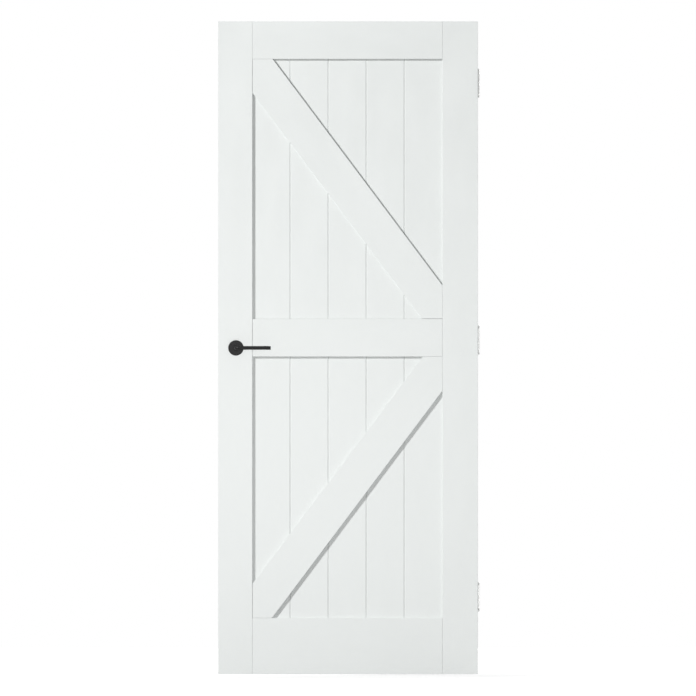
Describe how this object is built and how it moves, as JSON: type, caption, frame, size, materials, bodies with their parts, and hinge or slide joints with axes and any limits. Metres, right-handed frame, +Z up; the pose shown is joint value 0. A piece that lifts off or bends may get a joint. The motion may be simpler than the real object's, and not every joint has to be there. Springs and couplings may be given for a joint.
{
  "type": "interior door",
  "caption": "White panelled interior door with framed upright boards, diagonal braces, black lever handles on round roses, and butt hinges it swings on.",
  "frame": {"origin": "centre of the outer flat face of the bottom hinge's jamb leaf, between its screw holes", "axes": "+X to the right across the front face, out of the hinge edge into the jamb; +Y out of the back face, the side that the door opens to; +Z up"},
  "size_m": [0.8483, 0.1679, 2.115],
  "materials": {
    "frame_paint": "satin",
    "board_paint": "satin",
    "brace_paint": "satin",
    "black_metal": "satin",
    "satin_steel": "satin",
    "plated_steel": "satin"
  },
  "bodies": {
    "jamb": {"hinge_bottom_jamb_leaf": "satin_steel", "hinge_bottom_pin": "satin_steel", "hinge_middle_jamb_leaf": "satin_steel", "hinge_middle_pin": "satin_steel", "hinge_top_jamb_leaf": "satin_steel", "hinge_top_pin": "satin_steel"},
    "door": {"lock_stile": "frame_paint", "hinge_stile": "frame_paint", "top_rail": "frame_paint", "mid_rail": "frame_paint", "bottom_rail": "frame_paint", "board_upper_1": "board_paint", "board_upper_2": "board_paint", "board_upper_3": "board_paint", "board_upper_4": "board_paint", "board_upper_5": "board_paint", "board_lower_1": "board_paint", "board_lower_2": "board_paint", "board_lower_3": "board_paint", "board_lower_4": "board_paint", "board_lower_5": "board_paint", "brace_upper_front": "brace_paint", "brace_upper_back": "brace_paint", "brace_lower_front": "brace_paint", "brace_lower_back": "brace_paint", "rose_front": "black_metal", "rose_back": "black_metal", "latch_case": "plated_steel", "latch_forend": "satin_steel", "latch_bolt": "plated_steel", "hinge_bottom_door_leaf": "satin_steel", "hinge_middle_door_leaf": "satin_steel", "hinge_top_door_leaf": "satin_steel"},
    "handle": {"lever_front": "black_metal", "lever_back": "black_metal", "spindle": "plated_steel"}
  },
  "joints": [
    {"name": "door_swing", "type": "hinge", "parent": "jamb", "child": "door", "pos_m": [-0.00325, 0.02625, 0], "axis": [0, 0, -1], "range_deg": [0, 170]},
    {"name": "lever_turn", "type": "hinge", "parent": "door", "child": "handle", "pos_m": [-0.788, -0.00175, 0.807], "axis": [0, 1, 0], "range_deg": [0, 40], "stiffness_Nm_per_rad": 1.5, "springref_deg": -22.92}
  ]
}
